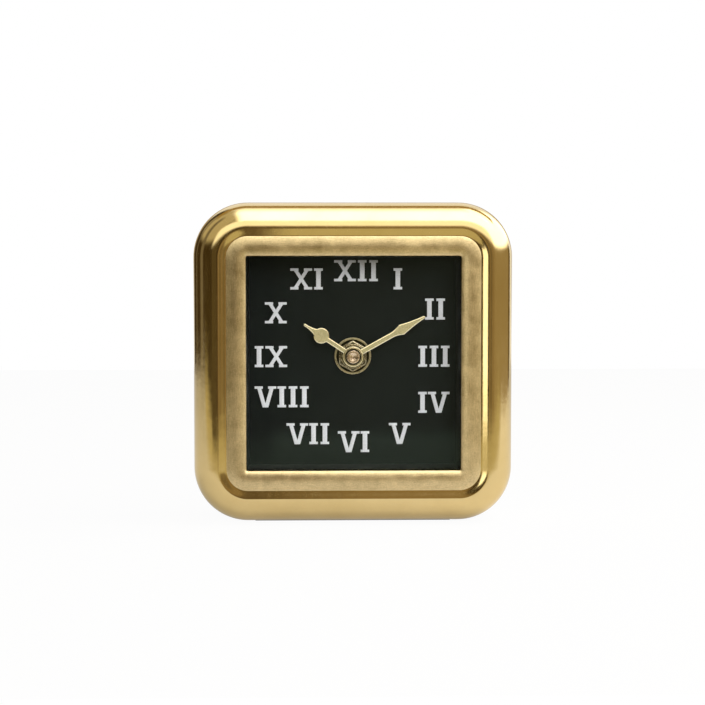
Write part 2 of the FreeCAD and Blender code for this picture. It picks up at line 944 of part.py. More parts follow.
def inside(x, z):
    """A place in the movement, from its hand axis, as a place on the clock."""
    return x, axis_height + z


def bridge_posts():
    return [inside(x, z) for x, z in bridge_post_places]


def circuit_middle():
    return inside(inner_half - circuit_width / 2, circuit_rise)


def circuit_posts():
    x, z = circuit_middle()
    reach = circuit_height / 2 - 2 * board_post_radius
    return [(x, z - reach), (x, z + reach)]


def stator_width():
    """The stator is as wide as the setting stem beside it leaves room for."""
    side = rotor_place[0] - setting_place[0] - stem_radius - stator_clearance
    return 2 * side


def coil_length():
    return stator_width() - 2 * (stator_leg + bobbin_flange + coil_end_gap)


def stator_top():
    return axis_height + inner_half - stator_top_gap


def leg_places():
    reach = (stator_width() - stator_leg) / 2
    z = stator_top() - stator_leg / 2
    return [(rotor_place[0] - reach, z), (rotor_place[0] + reach, z)]


def bay_partition(front, back):
    return block(inside(0, bay_top + shell_wall / 2), 2 * inner_half, shell_wall, front, back)


def shell_box(front, back):
    return block(axis_place, movement_size, movement_size, front, back)


def shell_hollow(front, back):
    return block(axis_place, 2 * inner_half, 2 * inner_half, front, back)


def movement_front_shell():
    walls = shell_box(movement_front, shell_split).cut(shell_hollow(floor_back, shell_split))
    solids = [walls, bay_partition(floor_back, shell_split)]
    for place in bridge_posts():
        solids.append(rod(place, post_radius, floor_back, bridge_layer))
        solids.append(rod(place, pin_radius, bridge_layer, bridge_back))
    for place in leg_places():
        solids.append(rod(place, post_radius, floor_back, stator_front))
        solids.append(rod(place, pin_radius, stator_front, core_front + core_thickness))
    for place in circuit_posts():
        solids.append(rod(place, board_post_radius, floor_back, stator_front))
    solids.append(rod(minute_place, minute_post_radius, floor_back, minute_layer_back))
    recess_back = movement_front + bushing_flange_thickness
    holes = [
        rod(axis_place, bushing_flange_radius + seat_clearance, movement_front, recess_back),
        rod(axis_place, bushing_radius, movement_front, floor_back),
        rod(setting_place, stem_radius + running_clearance, floor_back - pivot_depth, floor_back),
    ]
    for place in (third_place, middle_place, rotor_place):
        holes.append(rod(place, arbor_radius + running_clearance, floor_back - pivot_depth, floor_back))
    return cut(fuse(solids), holes)


def strap_notch(side):
    """The slot in the bay's inner wall that one contact strap passes through."""
    x = side * (inner_half - strap_reach / 2)
    width = strap_reach + 2 * contact_gap
    height = shell_wall + 2 * contact_gap
    front = core_front - contact_gap
    back = core_front + strap_height + contact_gap
    return block(inside(x, bay_top + shell_wall / 2), width, height, front, back)


def movement_back_shell():
    walls = shell_box(shell_split, movement_back).cut(shell_hollow(shell_split, movement_back))
    cover_height = inner_half - bay_top
    cover_middle = inside(0, bay_top + cover_height / 2)
    cover = block(cover_middle, 2 * inner_half, cover_height, back_wall_front, movement_back)
    solids = [walls, bay_partition(shell_split, movement_back), cover]
    holes = [
        rod(setting_place, stem_radius + running_clearance, back_wall_front, movement_back),
        rod(rotor_place, arbor_radius + running_clearance, back_wall_front, back_wall_front + pivot_depth),
        strap_notch(-1),
        strap_notch(1),
    ]
    return cut(fuse(solids), holes)


def train_bridge():
    middle = inside(bridge_shift, bridge_rise)
    plain = block(middle, bridge_width, bridge_height, bridge_layer, bridge_back)
    rotor_way = fine_module * (rotor_pinion_teeth / 2 + addendum_share) + running_clearance
    holes = [
        rod(axis_place, seconds_radius + running_clearance, bridge_layer, bridge_back),
        rod(third_place, arbor_radius + running_clearance, bridge_layer, bridge_back),
        rod(middle_place, arbor_radius + running_clearance, bridge_layer, bridge_back),
        rod(rotor_place, rotor_way, bridge_layer, bridge_back),
        rod(setting_place, stem_radius + running_clearance, bridge_layer, bridge_back),
    ]
    for place in bridge_posts():
        holes.append(rod(place, pin_radius + grip_clearance, bridge_layer, bridge_back))
    return cut(plain, holes)


def stator():
    """A flat iron plate round the rotor magnet with a leg to each end of the coil core."""
    middle_x, rotor_z = rotor_place
    low = rotor_z - stator_base / 2
    height = stator_top() - low
    plain = block((middle_x, low + height / 2), stator_width(), height, stator_front, core_front)
    gap_height = height - stator_base
    gap_place = (middle_x, stator_top() - gap_height / 2)
    gap_width = stator_width() - 2 * stator_leg
    gap = block(gap_place, gap_width, gap_height, stator_front, core_front)
    holes = [gap, rod(rotor_place, magnet_radius + stator_gap, stator_front, core_front)]
    for place in leg_places():
        holes.append(rod(place, pin_radius + grip_clearance, stator_front, core_front))
    return cut(plain, holes)


def coil_middle():
    return rotor_place[0], stator_top() - stator_leg / 2


def coil_core():
    back = core_front + core_thickness
    bar = block(coil_middle(), stator_width(), stator_leg, core_front, back)
    return cut(bar, [rod(place, pin_radius + grip_clearance, core_front, back) for place in leg_places()])


def coil_layer(length, build, inner_build):
    """A box round the core, one build thick, with the inner build left open."""
    x, z = coil_middle()
    shapes = []
    for growth in (build, inner_build):
        height = stator_leg + 2 * growth
        front = core_front - growth
        back = core_front + core_thickness + growth
        shapes.append(block((x, z), length, height, front, back))
    return shapes[0].cut(shapes[1])


def coil_bobbin():
    full_length = coil_length() + 2 * bobbin_flange
    flanged = coil_layer(full_length, coil_build, grip_clearance)
    room = coil_layer(coil_length(), coil_build, bobbin_sleeve)
    return flanged.cut(room)


def coil_winding():
    return coil_layer(coil_length(), coil_build - bobbin_sleeve, bobbin_sleeve)


def circuit_board():
    back = stator_front + circuit_thickness
    width = circuit_width - 2 * contact_gap
    return block(circuit_middle(), width, circuit_height, stator_front, back)


def ic_chip():
    front = stator_front + circuit_thickness
    x, z = circuit_middle()
    return block((x, z + chip_size), chip_size, chip_size, front, front + chip_height)


def quartz_crystal():
    """A small can that lies upright along the circuit board."""
    x, z = circuit_middle()
    depth = stator_front + circuit_thickness + crystal_lift + crystal_radius
    start = point(x, depth, z - chip_size - crystal_length / 2)
    return Part.makeCylinder(crystal_radius, crystal_length, start, upward)


def battery_contact(side):
    """An end plate with a button, and a strap through the bay's inner wall to the circuit board."""
    plate_x = side * (inner_half - contact_thickness / 2)
    front = battery_depth - contact_depth / 2
    back = core_front + strap_height
    end_plate = block(inside(plate_x, bay_middle), contact_thickness, contact_height, front, back)
    button_x = side * ((battery_length + battery_nub_length) / 2 + contact_gap)
    button_length = inner_half - abs(button_x)
    button_start = point(button_x, battery_depth, axis_height + bay_middle)
    button = Part.makeCylinder(battery_nub_radius, button_length, button_start, across * side)
    strap_low = bay_top + shell_wall + contact_gap
    riser_height = strap_low - bay_middle
    riser_middle = inside(plate_x, bay_middle + riser_height / 2)
    riser = block(riser_middle, contact_thickness, riser_height, core_front, back)
    strap_end = inner_half - circuit_width / 2 + side * strap_reach / 2
    strap_width = abs(side * inner_half - strap_end)
    strap_middle = inside((side * inner_half + strap_end) / 2, strap_low + strap_thickness / 2)
    strap = block(strap_middle, strap_width, strap_thickness, core_front, back)
    return fuse([end_plate, button, riser, strap])


def battery():
    length = battery_length + battery_nub_length
    x = -length / 2
    depth = battery_depth
    start = point(x, depth, axis_height + bay_middle)
    can = Part.makeCylinder(battery_radius, battery_length, start, across)
    nub_start = start + across * battery_length
    nub = Part.makeCylinder(battery_nub_radius, battery_nub_length, nub_start, across)
    return fuse([can, nub])


nodes = {
    "case": case,
    "felt_pad": felt_pad,
    "glass_pane": glass_pane,
    "spacer_frame": spacer_frame,
    "dial_plate": dial_plate,
    "numerals": numerals,
    "dial_board": dial_board,
    "board_screws": board_screws,
    "back_plate": back_plate,
    "back_screws": back_screws,
    "hour_hand": hour_hand,
    "minute_hand": minute_hand,
    "hand_nut": hand_nut,
    "brass_washer": brass_washer,
    "hex_nut": hex_nut,
    "threaded_bushing": threaded_bushing,
    "rubber_washer": rubber_washer,
    "hour_wheel": hour_wheel,
    "centre_wheel": centre_wheel,
    "minute_wheel": minute_wheel,
    "third_wheel": third_wheel,
    "seconds_wheel": seconds_wheel,
    "intermediate_wheel": intermediate_wheel,
    "rotor_pinion": rotor_pinion,
    "rotor_magnet": rotor_magnet,
    "setting_stem": setting_stem,
    "setting_knob": setting_knob,
    "movement_front_shell": movement_front_shell,
    "movement_back_shell": movement_back_shell,
    "train_bridge": train_bridge,
    "stator": stator,
    "coil_core": coil_core,
    "coil_bobbin": coil_bobbin,
    "coil_winding": coil_winding,
    "circuit_board": circuit_board,
    "ic_chip": ic_chip,
    "quartz_crystal": quartz_crystal,
    "positive_contact": lambda: battery_contact(1),
    "negative_contact": lambda: battery_contact(-1),
    "battery": battery,
}

os.makedirs("parts", exist_ok=True)
for name, make in nodes.items():
    shape = make()
    shape.exportStep(os.path.join("parts", name + ".step"))
    print(name, "solids", len(shape.Solids), "valid", shape.isValid(), "volume", round(shape.Volume, 2))
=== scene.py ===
import math

import bmesh
import bpy
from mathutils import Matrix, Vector


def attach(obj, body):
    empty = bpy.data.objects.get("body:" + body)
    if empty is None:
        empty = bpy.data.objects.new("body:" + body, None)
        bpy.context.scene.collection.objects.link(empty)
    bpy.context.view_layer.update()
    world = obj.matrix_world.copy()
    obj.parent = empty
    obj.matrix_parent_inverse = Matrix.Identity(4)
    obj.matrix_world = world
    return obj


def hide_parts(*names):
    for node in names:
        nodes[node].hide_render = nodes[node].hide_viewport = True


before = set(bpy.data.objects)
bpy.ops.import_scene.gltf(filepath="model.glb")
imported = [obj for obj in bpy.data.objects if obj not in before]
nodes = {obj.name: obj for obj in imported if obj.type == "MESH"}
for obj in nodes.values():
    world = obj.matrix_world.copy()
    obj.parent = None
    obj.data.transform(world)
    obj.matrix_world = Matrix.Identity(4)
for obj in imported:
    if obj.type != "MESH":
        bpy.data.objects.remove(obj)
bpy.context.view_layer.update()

MM = 0.001


# Node trees
class Nodes:
    """The node tree of a material or a world, started empty."""

    def __init__(self, owner, output):
        owner.use_nodes = True
        self.tree = owner.node_tree
        self.tree.nodes.clear()
        self.output = self.add(output)

    def add(self, kind, inputs=None, **settings):
        node = self.tree.nodes.new(kind)
        for key, value in settings.items():
            setattr(node, key, value)
        for key, value in (inputs or {}).items():
            if isinstance(value, bpy.types.NodeSocket):
                self.join(value, node.inputs[key])
            else:
                node.inputs[key].default_value = value
        return node

    def join(self, source, target):
        self.tree.links.new(source, target)

    def surface(self, shader):
        self.join(shader, self.output.inputs["Surface"])

    def calculate(self, operation, first, second):
        return self.add("ShaderNodeMath", {0: first, 1: second}, operation=operation).outputs["Value"]

    def mix(self, share, first, second):
        """The first shader where the share is 0, and the second where it is 1."""
        return self.add("ShaderNodeMixShader", {0: share, 1: first, 2: second}).outputs["Shader"]

    def ray_share(self, shares):
        """The largest of the shares given for the kinds of ray that a ray counts as."""
        rays = self.add("ShaderNodeLightPath").outputs
        result = 0.0
        for kind, share in shares.items():
            result = self.calculate("MAXIMUM", result, self.calculate("MULTIPLY", rays[kind], share))
        return result


class Shading(Nodes):
    """A node material with one Principled shader."""

    def __init__(self, name, **inputs):
        self.material = bpy.data.materials.new(name)
        super().__init__(self.material, "ShaderNodeOutputMaterial")
        self.shader = self.add("ShaderNodeBsdfPrincipled", inputs)
        self.surface(self.shader.outputs["BSDF"])

    def place(self, stretch=(1, 1, 1)):
        """The place in the piece's own space."""
        inputs = {"Vector": self.add("ShaderNodeTexCoord").outputs["Object"], "Scale": stretch}
        return self.add("ShaderNodeMapping", inputs).outputs["Vector"]

    def ring(self, stretch):
        """The place along and across the frame's section."""
        inputs = {"Vector": self.add("ShaderNodeUVMap", uv_map="sweep").outputs["UV"], "Scale": stretch}
        return self.add("ShaderNodeMapping", inputs).outputs["Vector"]

    def noise(self, scale, detail=3.0, roughness=0.5, vector=None):
        inputs = {"Scale": scale, "Detail": detail, "Roughness": roughness}
        inputs["Vector"] = vector if vector is not None else self.place()
        return self.add("ShaderNodeTexNoise", inputs).outputs["Fac"]

    def ramp(self, factor, stops):
        node = self.add("ShaderNodeValToRGB", {"Fac": factor})
        elements = node.color_ramp.elements
        while len(elements) < len(stops):
            elements.new(0.5)
        for element, (position, colour) in zip(elements, stops):
            element.position = position
            element.color = (*colour, 1)
        return node.outputs["Color"]

    def spread(self, factor, low, high, start=0.3, end=0.7):
        inputs = {"Value": factor, "From Min": start, "From Max": end, "To Min": low, "To Max": high}
        return self.add("ShaderNodeMapRange", inputs).outputs["Result"]

    def colour(self, factor, dark, light, start=0.3, end=0.7):
        self.join(self.ramp(factor, [(start, dark), (end, light)]), self.shader.inputs["Base Color"])

    def rough(self, factor, low, high):
        self.join(self.spread(factor, low, high), self.shader.inputs["Roughness"])

    def bump(self, *layers):
        """Each layer is a height and its depth in metres."""
        normal = None
        for height, depth in layers:
            inputs = {"Height": height, "Distance": depth, "Strength": 1.0}
            if normal is not None:
                inputs["Normal"] = normal
            normal = self.add("ShaderNodeBump", inputs).outputs["Normal"]
        self.join(normal, self.shader.inputs["Normal"])


# Finishes
def polished_brass():
    shading = Shading("polished_brass", Metallic=1.0)
    tarnish = shading.noise(45, 5, 0.6)
    wipe = shading.noise(400, 4, 0.6, shading.place((1, 1, 0.25)))
    shading.colour(tarnish, (0.74, 0.565, 0.26), (0.82, 0.64, 0.315))
    shading.rough(wipe, 0.09, 0.16)
    shading.bump((shading.noise(260, 2), 0.00002), (shading.noise(5200, 2), 0.000002))
    return shading.material


def brushed_brass():
    shading = Shading("brushed_brass", Metallic=1.0)
    lines = shading.noise(1, 4, 0.65, shading.ring((260, 2600, 1)))
    fleck = shading.noise(1500, 4, 0.75)
    blotch = shading.noise(150, 4, 0.65)
    total = shading.calculate("ADD", shading.calculate("ADD", lines, fleck), blotch)
    mean = shading.calculate("MULTIPLY", total, 0.3333)
    shading.colour(mean, (0.50, 0.39, 0.20), (0.90, 0.73, 0.42), 0.36, 0.64)
    shading.rough(blotch, 0.32, 0.46)
    shading.bump((blotch, 0.00006), (lines, 0.00002), (fleck, 0.00002))
    return shading.material


def cast_brass():
    shading = Shading("cast_brass", Metallic=1.0)
    grain = shading.noise(900, 5, 0.7)
    shading.colour(grain, (0.34, 0.25, 0.11), (0.58, 0.44, 0.21))
    shading.rough(grain, 0.42, 0.6)
    shading.bump((grain, 0.00012))
    return shading.material


def hand_metal(name, dark, light, metallic, low, high):
    shading = Shading(name, Metallic=metallic)
    lines = shading.noise(2600, 4, 0.7, shading.place((1, 1, 0.5)))
    shading.colour(lines, dark, light)
    shading.rough(lines, low, high)
    shading.bump((lines, 0.00001))
    return shading.material


def turned_metal(name, dark, light, low=0.16, high=0.3, depth=0.000008):
    shading = Shading(name, Metallic=1.0)
    marks = shading.noise(1500, 4, 0.65)
    shading.colour(marks, dark, light)
    shading.rough(marks, low, high)
    shading.bump((marks, depth))
    return shading.material


def moulded(name, dark, light, low=0.35, high=0.5, depth=0.00003, scale=1400):
    shading = Shading(name)
    grain = shading.noise(scale, 3, 0.6)
    cloud = shading.noise(60, 3, 0.5)
    shading.colour(cloud, dark, light)
    shading.rough(grain, low, high)
    shading.bump((grain, depth))
    return shading.material


def dial_paint():
    shading = Shading("dial_paint")
    shading.shader.inputs["Specular IOR Level"].default_value = 0.03
    cloud = shading.noise(16, 3, 0.5)
    grain = shading.noise(3200, 2, 0.5)
    shading.colour(cloud, (0.0062, 0.0080, 0.0082), (0.0080, 0.0105, 0.0108))
    shading.rough(grain, 0.60, 0.70)
    shading.bump((grain, 0.0000003))
    return shading.material


def silver_print():
    shading = Shading("silver_print")
    grain = shading.noise(1800, 4, 0.65)
    shading.colour(grain, (0.56, 0.59, 0.65), (0.70, 0.73, 0.79))
    shading.rough(grain, 0.26, 0.40)
    shading.bump((grain, 0.00001))
    return shading.material


def fibreboard():
    shading = Shading("fibreboard")
    fibres = shading.noise(500, 5, 0.7, shading.place((1, 1, 0.3)))
    shading.colour(fibres, (0.16, 0.095, 0.05), (0.34, 0.22, 0.12))
    shading.rough(fibres, 0.75, 0.9)
    shading.bump((fibres, 0.0001))
    return shading.material


def felt():
    shading = Shading("felt")
    fibres = shading.noise(2600, 5, 0.75)
    shading.shader.inputs["Sheen Weight"].default_value = 0.35
    shading.colour(fibres, (0.006, 0.022, 0.014), (0.022, 0.060, 0.038))
    shading.rough(fibres, 0.88, 0.98)
    shading.bump((fibres, 0.00022))
    return shading.material


def copper_wire():
    shading = Shading("copper_wire", Metallic=1.0)
    inputs = {"Vector": shading.place(), "Scale": 1600.0, "Distortion": 0.15}
    turns = shading.add("ShaderNodeTexWave", inputs, bands_direction="X").outputs["Fac"]
    shading.colour(turns, (0.38, 0.13, 0.05), (0.82, 0.40, 0.20), 0.1, 0.8)
    shading.rough(turns, 0.26, 0.36)
    shading.bump((turns, 0.00004))
    return shading.material


def cell_wrap():
    shading = Shading("cell_wrap")
    parts = shading.add("ShaderNodeSeparateXYZ", {"Vector": shading.place()})
    along = shading.spread(parts.outputs["X"], 0, 1, -0.025, 0.025)
    print_grain = shading.noise(700, 2)
    wrap = [
        (0.0, (0.05, 0.055, 0.06)),
        (0.70, (0.06, 0.065, 0.07)),
        (0.72, (0.50, 0.27, 0.11)),
        (1.0, (0.56, 0.31, 0.13)),
    ]
    shading.join(shading.ramp(along, wrap), shading.shader.inputs["Base Color"])
    shading.rough(print_grain, 0.22, 0.32)
    shading.bump((print_grain, 0.00001))
    return shading.material


def clear_glass():
    """Clear to light on its way to the dial, and glass to everything that looks at it."""
    shading = Shading("clear_glass", Roughness=0.0, IOR=1.45)
    shading.shader.inputs["Transmission Weight"].default_value = 1.0
    shading.shader.inputs["Specular Tint"].default_value = (0.33, 0.48, 0.56, 1)
    tint = shading.noise(12, 2)
    shading.colour(tint, (0.985, 0.992, 0.99), (0.992, 0.998, 0.995))
    clear = shading.add("ShaderNodeBsdfTransparent", {"Color": (0.97, 0.98, 0.975, 1)})
    shadow = shading.add("ShaderNodeLightPath").outputs["Is Shadow Ray"]
    shading.surface(shading.mix(shadow, shading.shader.outputs["BSDF"], clear.outputs["BSDF"]))
    return shading.material


finishes = {
    "polished": polished_brass(),
    "brushed": brushed_brass(),
    "cast": cast_brass(),
    "hand": hand_metal("hand_brass", (0.42, 0.37, 0.19), (0.66, 0.59, 0.33), 0.45, 0.30, 0.42),
    # painted highlight: a bright copy of the hand brass for the hands' borders and the minute boss's rim
    "painted_highlight_edge": hand_metal("painted_highlight_edge", (0.86, 0.79, 0.52), (0.95, 0.89, 0.64), 1.0, 0.16, 0.24),
    # painted shade: a near-black brass put on the nut's flanks and cone, the washer's dish and the ring round
    # the minute boss, where shade falls
    "painted_shade": turned_metal("painted_shade_brass", (0.05, 0.042, 0.02), (0.10, 0.085, 0.042), 0.35, 0.5),
    "nut": turned_metal("nut_metal", (0.36, 0.31, 0.19), (0.58, 0.51, 0.34), 0.22, 0.34),
    "cap": turned_metal("cap_metal", (0.64, 0.50, 0.36), (0.84, 0.68, 0.50), 0.18, 0.30, 0.00003),
    "washer": turned_metal("washer_metal", (0.50, 0.44, 0.26), (0.72, 0.65, 0.42), 0.24, 0.38),
    "arbor": turned_metal("arbor_metal", (0.60, 0.46, 0.22), (0.82, 0.66, 0.36)),
    "steel": turned_metal("steel", (0.40, 0.41, 0.43), (0.62, 0.63, 0.65)),
    "screw": turned_metal("screw_steel", (0.16, 0.165, 0.17), (0.30, 0.305, 0.31), 0.26, 0.42),
    "magnet": turned_metal("magnet", (0.12, 0.12, 0.13), (0.22, 0.22, 0.23), 0.35, 0.5),
    "glass": clear_glass(),
    "spacer": moulded("spacer_plastic", (0.010, 0.011, 0.011), (0.014, 0.015, 0.015), 0.32, 0.44, 0.00001),
    "dial": dial_paint(),
    "silver": silver_print(),
    "board": fibreboard(),
    "back": moulded("back_coat", (0.012, 0.012, 0.012), (0.020, 0.020, 0.020), 0.42, 0.6, 0.00009, 900),
    "movement": moulded("movement_plastic", (0.014, 0.014, 0.015), (0.024, 0.024, 0.025), 0.36, 0.5, 0.00006),
    "wheel": moulded("wheel_plastic", (0.62, 0.60, 0.54), (0.74, 0.72, 0.66), 0.32, 0.44, 0.00002),
    "circuit": moulded("circuit_green", (0.008, 0.075, 0.035), (0.014, 0.110, 0.055), 0.26, 0.4, 0.00002),
    "copper": copper_wire(),
    "rubber": moulded("rubber", (0.010, 0.010, 0.010), (0.016, 0.016, 0.016), 0.6, 0.75, 0.00005),
    "felt": felt(),
    "cell": cell_wrap(),
}


# Pieces
def to_point(x, depth, z):
    """A place in the CAD's millimetres, its depth from the crest of the frame."""
    return Vector((x * MM, (depth - DEPTH / 2) * MM, z * MM))


def to_data(mesh, name):
    data = bpy.data.meshes.new(name)
    mesh.to_mesh(data)
    mesh.free()
    return data


def place_object(name, data):
    piece = bpy.data.objects.new(name, data)
    bpy.context.scene.collection.objects.link(piece)
    return piece


def new_piece(name, mesh, materials, body, slot, *replaced):
    piece = place_object(name, mesh)
    for material in materials:
        mesh.materials.append(finishes[material])
    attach(piece, body)
    if replaced:
        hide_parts(*replaced)
    return piece


# The frame in millimetres, its section as inset from the outer wall and depth
DEPTH = 52.0
HALF = 70.0
CENTRE = 70.8
CORNER = 23.85
BULGE = (10.9, 14.0)
KNEE, KNEE_PULL = (12.7, 0.4), 11.404
GROOVE, GROOVE_PULL = (14.5, 0.8), 13.996
BEAD, BEAD_PULL = (18.8, 0.05), 16.22
LIP, LIP_PULL, LIP_ROUND = (23.15, 1.5), 22.06, 0.35
LIP_BACK = 7.4
WALL = 4.0
HOLLOW_FRONT = 4.8
COLLAR_INNER, COLLAR_OUTER, COLLAR_BACK = 20.1, 16.6, 18.3
REBATE, RIM = 48.5, 2.0
TURN_STEPS, RUN_STEPS = 28, 14

# Its posts for the screws: place from the middle, radius, front and back, and the pilot hole's end
PILLAR = (57.71, 3.3, 3.8, REBATE, 38.0)
BOSS = (58.0, 4.0, 4.5, 19.1, 12.0)
PILOT = 1.35
POST_STEPS = 32

# The centre fixing in millimetres, its places as depths
AXIS = 73.1
WASHER_BACK = 18.3
WASHER_DISH = 18.05
WASHER_RADIUS = 8.15
NUT_BACK, NUT_FRONT = 17.8, 15.6
NUT_FLATS, NUT_CROWN, NUT_SLOPE = 12.2, 5.3, math.tan(math.radians(24))
NUT_STEPS = 144
THREAD = 4.0
BORE = THREAD + 0.02
BOSS_FRONT = 12.3
# front of the painted shade disc that lies on the minute boss
BOSS_SHADE_FRONT = BOSS_FRONT - 0.04
CAP_BACK, CAP_FRONT = 12.3, 10.2
CAP_BORE = 1.8
TURNED_STEPS = 96

# Mesh clean-up: metres that weld corners, and degrees that count as flat and as an edge
WELD = 1e-6
SAME_LEVEL = 1e-5
FLAT, EDGE = 1.0, 32.0


def bend(start, pull, end, steps):
    """A quarter of an ellipse, as in the CAD, without its first point."""
    points = []
    for step in range(1, steps + 1):
        t = step / steps
        weights = ((1 - t) ** 2, math.sqrt(2) * t * (1 - t), t ** 2)
        total = sum(weights)
        points.append(tuple(
            sum(weight * place[axis] for weight, place in zip(weights, (start, pull, end))) / total
            for axis in (0, 1)
        ))
    return points


def run(start, end, steps):
    return [
        tuple(start[axis] + (end[axis] - start[axis]) * step / steps for axis in (0, 1))
        for step in range(1, steps + 1)
    ]


def case_section():
    """Points once round the section, each with the finish of the strip that ends there."""
    lip_corner = (LIP[0] - 0.15, LIP[1] - 0.25)
    lip_end = (LIP[0], LIP[1] + LIP_ROUND)
    parts = [
        ("polished", run((0, DEPTH), (0, BULGE[1]), 8)),
        ("polished", bend((0, BULGE[1]), (0, 0), (BULGE[0], 0), 40)),
        ("polished", bend((BULGE[0], 0), (KNEE_PULL, 0), KNEE, 14)),
        ("polished", bend(KNEE, (GROOVE_PULL, GROOVE[1]), GROOVE, 14)),
        ("brushed", bend(GROOVE, (BEAD_PULL, BEAD[1]), BEAD, 20)),
        ("brushed", bend(BEAD, (LIP_PULL, BEAD[1]), lip_corner, 20)),
        ("brushed", bend(lip_corner, LIP, lip_end, 5)),
        ("polished", run(lip_end, (LIP[0], LIP_BACK), 6)),
        ("cast", run((LIP[0], LIP_BACK), (COLLAR_INNER, LIP_BACK), 2)),
        ("cast", run((COLLAR_INNER, LIP_BACK), (COLLAR_INNER, COLLAR_BACK), 3)),
        ("cast", run((COLLAR_INNER, COLLAR_BACK), (COLLAR_OUTER, COLLAR_BACK), 2)),
        ("cast", run((COLLAR_OUTER, COLLAR_BACK), (COLLAR_OUTER, HOLLOW_FRONT), 3)),
        ("cast", run((COLLAR_OUTER, HOLLOW_FRONT), (BULGE[0], HOLLOW_FRONT), 2)),
        ("cast", run((BULGE[0], HOLLOW_FRONT), (BULGE[0], WALL), 1)),
        ("cast", bend((BULGE[0], WALL), (WALL, WALL), (WALL, BULGE[1]), 10)),
        ("cast", run((WALL, BULGE[1]), (WALL, REBATE), 6)),
        ("cast", run((WALL, REBATE), (RIM, REBATE), 1)),
        ("cast", run((RIM, REBATE), (RIM, DEPTH), 1)),
        ("cast", run((RIM, DEPTH), (0, DEPTH), 1)),
    ]
    return [(place, finish) for finish, places in parts for place in places]


def path_frames():
    """Places once round the square, each with the bearing of its section."""
    frames = []
    flat = HALF - CORNER
    corners = ((1, 1), (-1, 1), (-1, -1), (1, -1))
    for quarter, (side, level) in enumerate(corners):
        middle = (side * flat, CENTRE + level * flat)
        for step in range(TURN_STEPS):
            frames.append((middle, math.radians(90 * (quarter + step / TURN_STEPS))))
        following = corners[(quarter + 1) % 4]
        bearing = math.radians(90 * (quarter + 1))
        for step in range(RUN_STEPS):
            share = step / RUN_STEPS
            place = (
                middle[0] + (following[0] * flat - middle[0]) * share,
                middle[1] + (CENTRE + following[1] * flat - middle[1]) * share,
            )
            frames.append((place, bearing))
    return frames


def lathe(mesh, profile, place, steps, finish):
    """Adds a turned form round the depth axis: profile is (radius, depth) pairs."""
    rings = []
    for radius, depth in profile:
        if radius == 0:
            rings.append([mesh.verts.new(to_point(place[0], depth, place[1]))])
            continue
        rings.append([
            mesh.verts.new(to_point(
                place[0] + radius * math.cos(2 * math.pi * step / steps),
                depth,
                place[1] + radius * math.sin(2 * math.pi * step / steps),
            ))
            for step in range(steps)
        ])
    for ring, other in zip(rings, rings[1:]):
        for step in range(steps):
            near, far = ring[step % len(ring)], ring[(step + 1) % steps % len(ring)]
            far_other, near_other = other[(step + 1) % steps % len(other)], other[step % len(other)]
            corners = list(dict.fromkeys((near, far, far_other, near_other)))
            if len(corners) > 2:
                face = mesh.faces.new(corners)
                face.smooth = True
                face.material_index = finish


def add_posts(mesh, places, post, finish):
    """Round posts, each with a pilot hole for its screw in the back."""
    _, radius, front, back, pilot_end = post
    profile = [(radius, front), (radius, back), (PILOT, back), (PILOT, pilot_end), (0, pilot_end)]
    for place in places:
        lathe(mesh, profile, place, POST_STEPS, finish)


def case_mesh():
    section = case_section()
    frames = path_frames()
    order = ["polished", "brushed", "cast"]
    mesh = bmesh.new()
    sweep = mesh.loops.layers.uv.new("sweep")
    lengths = [0.0]
    for (place, _), (following, _) in zip(section, section[1:]):
        lengths.append(lengths[-1] + math.dist(place, following) * MM)
    rows = []
    travel = []
    for middle, bearing in frames:
        row = []
        for (inset, depth), _ in section:
            reach = CORNER - inset
            row.append(mesh.verts.new(to_point(
                middle[0] + reach * math.cos(bearing), depth, middle[1] + reach * math.sin(bearing)
            )))
        rows.append(row)
    distance = 0.0
    for index, row in enumerate(rows):
        travel.append(distance)
        distance += (rows[(index + 1) % len(rows)][0].co - row[0].co).length
    count = len(section)
    for index, row in enumerate(rows):
        other = rows[(index + 1) % len(rows)]
        start = travel[index]
        end = travel[index + 1] if index + 1 < len(rows) else distance
        for point in range(count):
            following = (point + 1) % count
            face = mesh.faces.new([row[point], row[following], other[following], other[point]])
            face.smooth = True
            face.material_index = order.index(section[following][1])
            low = lengths[point]
            high = lengths[following] if following else low
            for loop, uv in zip(face.loops, ((start, low), (start, high), (end, high), (end, low))):
                loop[sweep].uv = uv
    away, cast = PILLAR[0], order.index("cast")
    add_posts(mesh, [(x, CENTRE + z) for x in (-away, away) for z in (-away, away)], PILLAR, cast)
    away = BOSS[0]
    add_posts(mesh, [(away, CENTRE), (-away, CENTRE), (0, CENTRE + away), (0, CENTRE - away)], BOSS, cast)
    bmesh.ops.recalc_face_normals(mesh, faces=mesh.faces)
    return to_data(mesh, "frame_casting")


def node_mesh(node):
    """The node's own form, its flat parts in one face each."""
    mesh = bmesh.new()
    mesh.from_mesh(nodes[node].data)
    mesh.transform(nodes[node].matrix_world)
    bmesh.ops.remove_doubles(mesh, verts=mesh.verts, dist=WELD)
    bmesh.ops.dissolve_limit(mesh, angle_limit=math.radians(FLAT), verts=mesh.verts, edges=mesh.edges)
    return mesh


def eased(name, node, finish, body, slot, width, segments):
    """The node's own form with its edges rounded."""
    mesh = node_mesh(node)
    for face in mesh.faces:
        face.smooth = True
        face.material_index = 0
    piece = new_piece(name, to_data(mesh, name), [finish], body, slot, node)
    bevel = piece.modifiers.new("edges", "BEVEL")
    bevel.width = width * MM
    bevel.segments = segments
    bevel.material = 0
    bevel.limit_method = "ANGLE"
    bevel.angle_limit = math.radians(EDGE)
    bevel.use_clamp_overlap = True
    bevel.harden_normals = True
    bevel.miter_outer = "MITER_ARC"


